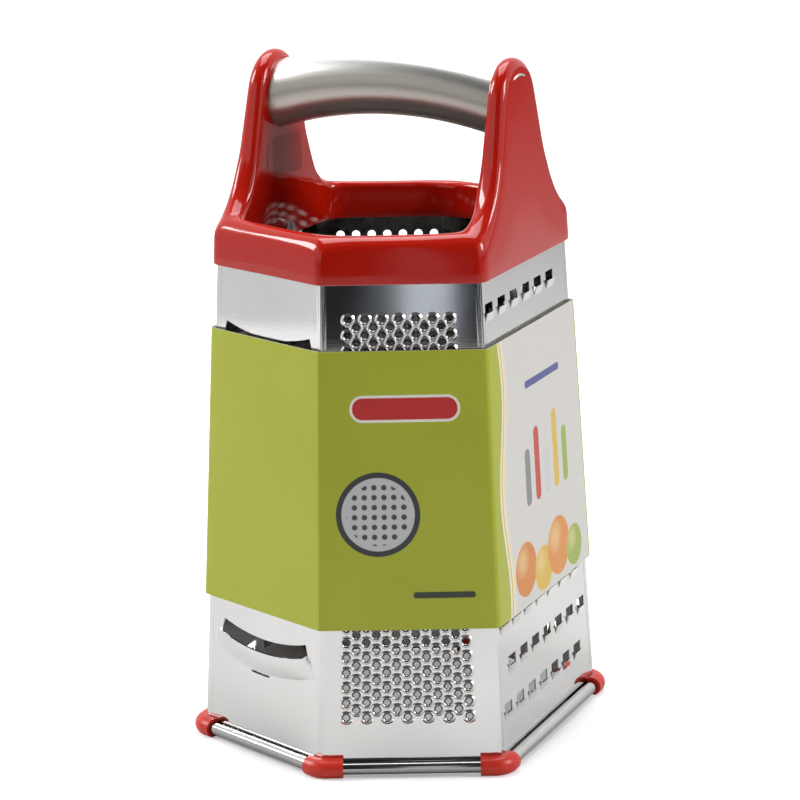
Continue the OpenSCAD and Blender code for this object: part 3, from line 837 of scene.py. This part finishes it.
def card_print(name):
    """Lime green print with generic motifs, laid out in millimetres round the sleeve."""
    material, tree, shader = new_material(name)
    uv = node(tree, "ShaderNodeUVMap", uv_map=wrap_map.name)
    parts = node(tree, "ShaderNodeSeparateXYZ")
    tree.links.new(uv.outputs["UV"], parts.inputs["Vector"])

    def maths(operation, a, b=None, c=None):
        made = node(tree, "ShaderNodeMath", operation=operation)
        for slot_number, value in enumerate((a, b, c)):
            if isinstance(value, (int, float)):
                made.inputs[slot_number].default_value = value
            elif value is not None:
                tree.links.new(value, made.inputs[slot_number])
        return made.outputs[0]

    u = maths("MULTIPLY_ADD", parts.outputs["X"], wrap_range, -wrap_range / 2)
    v = maths("MULTIPLY", parts.outputs["Y"], sleeve_h)

    def inside_of(distance, soft=0.12):
        """1 where a distance is less than zero, with a soft edge in millimetres."""
        return spread(tree, distance, soft, -soft)

    def length_of(du, dv):
        return maths("SQRT", maths("ADD", maths("MULTIPLY", du, du), maths("MULTIPLY", dv, dv)))

    def disc(cu, cv, radius):
        """Distance to the edge of a disc, less than zero inside it."""
        return maths("SUBTRACT", length_of(maths("SUBTRACT", u, cu), maths("SUBTRACT", v, cv)), radius)

    def past(value, centre, half):
        """Distance past a span to both sides of its centre, zero on the span."""
        away = maths("ABSOLUTE", maths("SUBTRACT", value, centre))
        return maths("MAXIMUM", maths("SUBTRACT", away, half), 0)

    def plate(cu, cv, half_u, half_v, radius):
        """Distance to the edge of an upright plate with round corners, less than zero inside it."""
        du, dv = past(u, cu, half_u - radius), past(v, cv, half_v - radius)
        return maths("SUBTRACT", length_of(du, dv), radius)

    place = stretched(tree, (1, 1, 1))
    cloud = noise_between(tree, place, scale=24.0)
    colour = mixed_colour(tree, cloud, (0.36, 0.40, 0.012, 1), (0.395, 0.43, 0.018, 1))

    # pale fields on the two wide walls, with a waving border of yellow, white and grey
    border, wave_rise, wave_length, wave_start, end_edge = 11.5, 2.6, 71, 0.9, 0.7
    for start, end in ((wrap_start[1], wrap_start[2]), (wrap_start[4], wrap_start[5])):
        wave = maths("SINE", maths("MULTIPLY_ADD", v, 2 * math.pi / wave_length, wave_start))
        edge = maths("SUBTRACT", maths("MULTIPLY_ADD", wave, wave_rise, start + border), u)
        past_end = maths("SUBTRACT", u, end - end_edge)
        for grow, ink in (
            (4.8, (0.76, 0.74, 0.68, 1)), (3.6, (0.70, 0.46, 0.06, 1)), (2.4, (0.76, 0.74, 0.68, 1)),
            (1.2, (0.74, 0.56, 0.20, 1)), (0.5, (0.74, 0.72, 0.66, 1)), (0.0, (0.62, 0.60, 0.57, 1)),
        ):
            field = maths("MAXIMUM", maths("SUBTRACT", edge, grow), past_end)
            colour = mixed_colour(tree, inside_of(field), colour, ink)
        # round fruit shapes along the bottom, each with a soft light spot, and slim bars above them
        for cu, cv, radius, ink in (
            (24, 13, 9.5, (0.62, 0.20, 0.015, 1)), (40, 9, 8.0, (0.66, 0.42, 0.04, 1)),
            (55, 13, 10.5, (0.68, 0.24, 0.02, 1)), (70, 9, 7.5, (0.30, 0.40, 0.04, 1)),
        ):
            colour = mixed_colour(tree, inside_of(disc(start + cu, cv, radius)), colour, ink)
            spot = disc(start + cu - radius * 0.3, cv + radius * 0.35, radius * 0.45)
            half_lit = maths("MULTIPLY", inside_of(spot, soft=2.2), 0.5)
            colour = mixed_colour(tree, half_lit, colour, (0.80, 0.62, 0.30, 1))
        for cu, cv, half_v, ink in (
            (30, 44, 10, (0.20, 0.21, 0.23, 1)), (39, 47, 13, (0.50, 0.03, 0.02, 1)),
            (48, 42, 8, (0.55, 0.56, 0.57, 1)), (57, 48, 14, (0.66, 0.44, 0.05, 1)),
            (66, 44, 10, (0.28, 0.40, 0.05, 1)),
        ):
            bar = plate(start + cu, cv, 2.4, half_v, 2.2)
            colour = mixed_colour(tree, inside_of(bar), colour, ink)
        bar = plate(start + 48, 76, 17, 1.3, 1.2)
        colour = mixed_colour(tree, inside_of(bar), colour, (0.06, 0.07, 0.26, 1))

    # front right and rear left: a red title bar, a silver disc with dark dots, and a thin dark bar
    dot_pitch, dot_share, dots_radius = 3.4, 0.28, 10.8
    for start in (wrap_start[0], wrap_start[3]):
        title, picture, thin_bar = (start + 30, 76), (start + 20, 40), (start + 42, 12)
        for shape, ink in (
            (plate(*title, 19.5, 4.6, 4.5), (0.80, 0.78, 0.70, 1)),
            (plate(*title, 18.6, 3.7, 3.6), (0.50, 0.015, 0.012, 1)),
            (disc(*picture, 14.5), (0.03, 0.03, 0.035, 1)),
            (disc(*picture, 12.6), (0.52, 0.53, 0.54, 1)),
            (plate(*thin_bar, 10.5, 1.1, 1.0), (0.03, 0.035, 0.02, 1)),
        ):
            colour = mixed_colour(tree, inside_of(shape), colour, ink)
        cell_u = maths("SUBTRACT", maths("FRACT", maths("MULTIPLY", u, 1 / dot_pitch)), 0.5)
        cell_v = maths("SUBTRACT", maths("FRACT", maths("MULTIPLY", v, 1 / dot_pitch)), 0.5)
        dot = inside_of(maths("SUBTRACT", length_of(cell_u, cell_v), dot_share), soft=0.04)
        dots = maths("MULTIPLY", dot, inside_of(disc(*picture, dots_radius)))
        colour = mixed_colour(tree, dots, colour, (0.05, 0.05, 0.055, 1))

    tree.links.new(colour, shader.inputs["Base Color"])
    shader.inputs["Coat Weight"].default_value = 0.12
    shader.inputs["Coat Roughness"].default_value = 0.18
    rough = noise_between(tree, place, scale=300.0, low=0.34, high=0.46)
    tree.links.new(rough, shader.inputs["Roughness"])
    fibre = bump_from(tree, noise_between(tree, place, scale=160.0), strength=0.03, distance=0.0004)
    tree.links.new(fibre, shader.inputs["Normal"])
    return material


def card_plain(name):
    """Uncoated grey-white back and cut edge of the card."""
    material, tree, shader = new_material(name)
    fibres = noise_between(tree, stretched(tree, (1, 1, 1)), scale=700.0)
    colour = mixed_colour(tree, fibres, (0.52, 0.51, 0.47, 1), (0.66, 0.65, 0.60, 1))
    tree.links.new(colour, shader.inputs["Base Color"])
    shader.inputs["Roughness"].default_value = 0.85
    raised = bump_from(tree, fibres, strength=0.2, distance=0.0002)
    tree.links.new(raised, shader.inputs["Normal"])
    return material


sleeve.data.materials.append(card_print("printed lime card"))
sleeve.data.materials.append(card_plain("card back"))
card_wall = sleeve.modifiers.new("card", "SOLIDIFY")
card_wall.thickness = card_t * mm
card_wall.offset = -1
card_wall.material_offset = 1
card_wall.material_offset_rim = 1
finish_modifiers(sleeve)
smooth(sleeve, angle=35)
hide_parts("sleeve")
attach(sleeve, "sleeve")


# Floor, light and camera
# A pale studio floor and white surroundings. The light comes from large soft boxes at the left,
# the right and above. A darker band stands behind the camera, as the far side of the room would.
deselect()
bpy.ops.mesh.primitive_plane_add(size=12, location=(0, 0, 0))
floor = bpy.context.object
floor.name = "studio_floor"
floor_tone, floor_lift, floor_near, floor_far = 0.70, 0.18, 0.055, 0.12


def dull_surface(name, tone):
    """Matt material without any gloss."""
    material, tree, shader = new_material(name)
    shader.inputs["Base Color"].default_value = (tone, tone, tone, 1)
    shader.inputs["Roughness"].default_value = 1
    shader.inputs["Specular IOR Level"].default_value = 0
    return material, tree, shader


def studio_floor(name):
    """Pale floor that takes the grater's shadow and fades to plain white away from it."""
    material, tree, shader = dull_surface(name, floor_tone)
    far = node(tree, "ShaderNodeVectorMath", operation="LENGTH")
    tree.links.new(coordinates(tree, "Object"), far.inputs[0])
    rays = node(tree, "ShaderNodeLightPath")
    level = node(tree, "ShaderNodeMath", operation="MULTIPLY")
    tree.links.new(rays.outputs["Is Camera Ray"], level.inputs[0])
    lift = spread(tree, far.outputs["Value"], floor_near, floor_far, floor_lift, 1.0)
    tree.links.new(lift, level.inputs[1])
    shader.inputs["Emission Color"].default_value = (1, 1, 1, 1)
    tree.links.new(level.outputs["Value"], shader.inputs["Emission Strength"])
    return material


floor.data.materials.append(studio_floor("pale studio floor"))


def room_card(name, place, size, level, face, tint=(1, 1, 1, 1)):
    """Card that shines with one brightness and is seen in reflections only."""
    deselect()
    turn = (Vector(face) - Vector(place)).to_track_quat("Z", "Y").to_euler()
    bpy.ops.mesh.primitive_plane_add(size=1, location=place, rotation=turn)
    card_piece = bpy.context.object
    card_piece.name = name
    card_piece.scale = (size[0], size[1], 1)
    material, tree, shader = dull_surface(name + " tone", 0)
    shader.inputs["Emission Color"].default_value = tint
    shader.inputs["Emission Strength"].default_value = level
    card_piece.data.materials.append(material)
    card_piece.visible_camera = False
    card_piece.visible_diffuse = False
    card_piece.visible_shadow = False


camera_turn = math.radians(24.14)
toward = Vector((math.sin(camera_turn), -math.cos(camera_turn), 0))
aside = Vector((math.cos(camera_turn), math.sin(camera_turn), 0))


def around(far, side, high):
    return toward * far + aside * side + Vector((0, 0, high))


# upright cards side by side behind the camera, which the front wall mirrors
card_far, card_high, card_tall, cool = 1.15, 0.35, 0.7, (0.84, 0.90, 1.0, 1)
for name, side, wide, level in (
    ("dark_left", -0.126, 0.148, 0.012), ("dim_middle", -0.041, 0.022, 0.10),
    ("pale_middle", -0.011, 0.038, 0.78), ("dark_right", 0.039, 0.062, 0.02),
):
    place, face = around(card_far, side, card_high), around(0, side, card_high)
    room_card(name, place, (wide, card_tall), level, face, cool)
room_card("dark_room", around(1.20, 0, 0.9), size=(1.3, 1.8), level=0.035, face=around(0, 0, 0.9))
room_card("pale_left", (-0.95, -0.34, 0.3), size=(1.2, 0.6), level=0.80, face=(0, 0, 0.3))
room_card("dim_ceiling", around(1.0, 0, 1.8), size=(3.0, 3.0), level=0.12, face=around(1.0, 0, 0))

world_fill = 0.22
world = bpy.data.worlds.new("studio")
bpy.context.scene.world = world
world.use_nodes = True
world_tree = world.node_tree
background = world_tree.nodes["Background"]
background.inputs["Color"].default_value = (1, 1, 1, 1)
world_rays = node(world_tree, "ShaderNodeLightPath")
world_seen = node(world_tree, "ShaderNodeMath", operation="MAXIMUM")
world_tree.links.new(world_rays.outputs["Is Camera Ray"], world_seen.inputs[0])
world_tree.links.new(world_rays.outputs["Is Glossy Ray"], world_seen.inputs[1])
world_level = spread(world_tree, world_seen.outputs[0], 0.0, 1.0, world_fill, 1.0)
world_tree.links.new(world_level, background.inputs["Strength"])


def softbox(name, place, target, size, power):
    lamp = bpy.data.lights.new(name, "AREA")
    lamp.shape = "RECTANGLE"
    lamp.size, lamp.size_y = size
    lamp.energy = power
    made = bpy.data.objects.new(name, lamp)
    bpy.context.collection.objects.link(made)
    made.location = place
    made.rotation_euler = (Vector(target) - Vector(place)).to_track_quat("-Z", "Y").to_euler()


softbox("softbox_left", (-1.3, -0.40, 1.0), target=(0, 0, 0.12), size=(0.5, 0.7), power=18.5)
softbox("softbox_right", (1.3, 0.10, 0.8), target=(0, 0, 0.12), size=(0.4, 0.6), power=11)
softbox("softbox_top", around(-0.3, 0, 1.3), target=(0, 0, 0.1), size=(0.9, 0.9), power=13)

photo_pixels, focal_pixels, right_pixels, up_pixels = 800, 2990, 3.2, 1.5
camera_rise, camera_far, camera_roll = math.radians(14.29), 1.053, math.radians(-1.24)
target = Vector((0, 0, 0.115))
back = toward * math.cos(camera_rise) + Vector((0, 0, math.sin(camera_rise)))
camera_data = bpy.data.cameras.new("photo_camera")
camera_data.sensor_width = 36
camera_data.lens = focal_pixels / photo_pixels * camera_data.sensor_width
camera_data.shift_x = right_pixels / photo_pixels
camera_data.shift_y = up_pixels / photo_pixels
camera = bpy.data.objects.new("photo_camera", camera_data)
bpy.context.collection.objects.link(camera)
camera.location = target + back * camera_far
camera.rotation_euler = (
    back.to_track_quat("Z", "Y").to_matrix().to_4x4() @ Matrix.Rotation(camera_roll, 4, "Z")
).to_euler()
bpy.context.scene.camera = camera
bpy.context.scene.view_settings.view_transform = "Standard"
